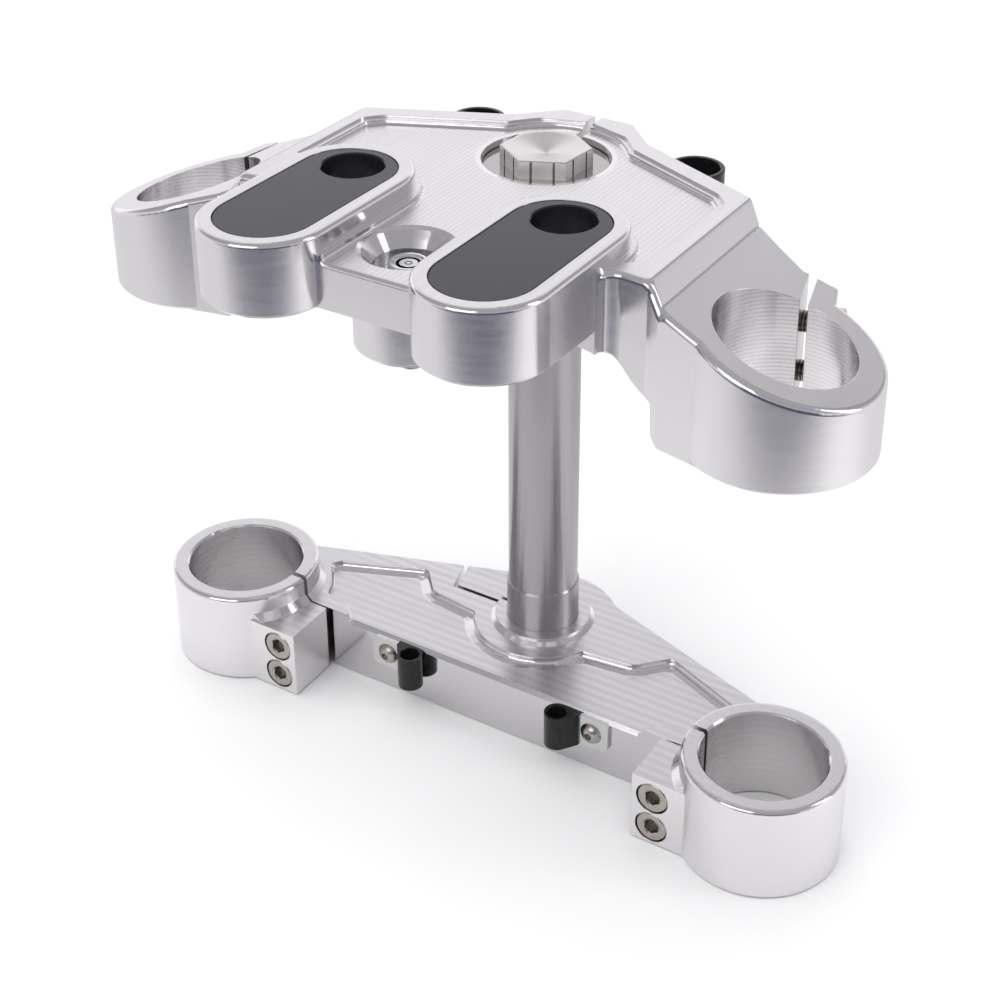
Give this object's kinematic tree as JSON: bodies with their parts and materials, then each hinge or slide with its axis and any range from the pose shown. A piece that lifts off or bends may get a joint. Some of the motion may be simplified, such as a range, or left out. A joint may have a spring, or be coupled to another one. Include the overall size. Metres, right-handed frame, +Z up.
{
  "type": "motorcycle triple clamp",
  "caption": "Motorcycle triple clamp set: gull-wing upper clamp with riser bosses and lock, lower clamp with hose clips, steering stem, split fork bores with pinch bolts.",
  "frame": {"origin": "centre of the bounding box at the level of the lower clamp's underside, which is the surface the set stands on", "axes": "+Z up along the steering stem, +X to the right fork tube seen from the side of the handlebar bosses, +Y from the handlebar bosses towards the stem, which is the front of the motorcycle"},
  "size_m": [0.3178, 0.177, 0.2523],
  "materials": {
    "machined_aluminium": "fine milled faces, polished edges",
    "ground_steel": "ground round bar",
    "stainless": "turned and polished",
    "stainless_bolt": "satin",
    "black_insert": "smooth semi-gloss",
    "zinc_strap": "zinc plated",
    "black_vinyl": "glossy vinyl",
    "chrome_lock": "bright plated",
    "lock_plug_metal": "satin plated"
  },
  "bodies": {
    "clamp_set": {"upper_clamp": "machined_aluminium", "lower_clamp": "machined_aluminium", "steering_stem": "ground_steel", "stem_cap_bolt": "stainless", "stem_washer": "stainless", "bar_insert_left": "black_insert", "upper_fork_bolt_left_1": "stainless_bolt", "lower_fork_bolt_left_1": "stainless_bolt", "upper_fork_bolt_left_2": "stainless_bolt", "lower_fork_bolt_left_2": "stainless_bolt", "hose_clip_strap_left": "zinc_strap", "hose_clip_sleeve_left": "black_vinyl", "hose_clip_screw_left": "stainless_bolt", "cable_clip_strap_left": "zinc_strap", "cable_clip_sleeve_left": "black_vinyl", "cable_clip_screw_left": "stainless_bolt", "bar_insert_right": "black_insert", "upper_fork_bolt_right_1": "stainless_bolt", "lower_fork_bolt_right_1": "stainless_bolt", "upper_fork_bolt_right_2": "stainless_bolt", "lower_fork_bolt_right_2": "stainless_bolt", "hose_clip_strap_right": "zinc_strap", "hose_clip_sleeve_right": "black_vinyl", "hose_clip_screw_right": "stainless_bolt", "cable_clip_strap_right": "zinc_strap", "cable_clip_sleeve_right": "black_vinyl", "cable_clip_screw_right": "stainless_bolt", "upper_stem_bolt": "stainless_bolt", "lower_stem_bolt": "stainless_bolt", "lock_cylinder": "chrome_lock"},
    "lock_key_plug": {"lock_plug": "lock_plug_metal", "lock_cam": "zinc_strap", "lock_cam_screw": "stainless_bolt"}
  },
  "joints": [
    {"name": "lock_turn", "type": "hinge", "parent": "clamp_set", "child": "lock_key_plug", "pos_m": [0, -0.0435, 0.22], "axis": [0, 0, 1], "range_deg": [0, 90]}
  ]
}
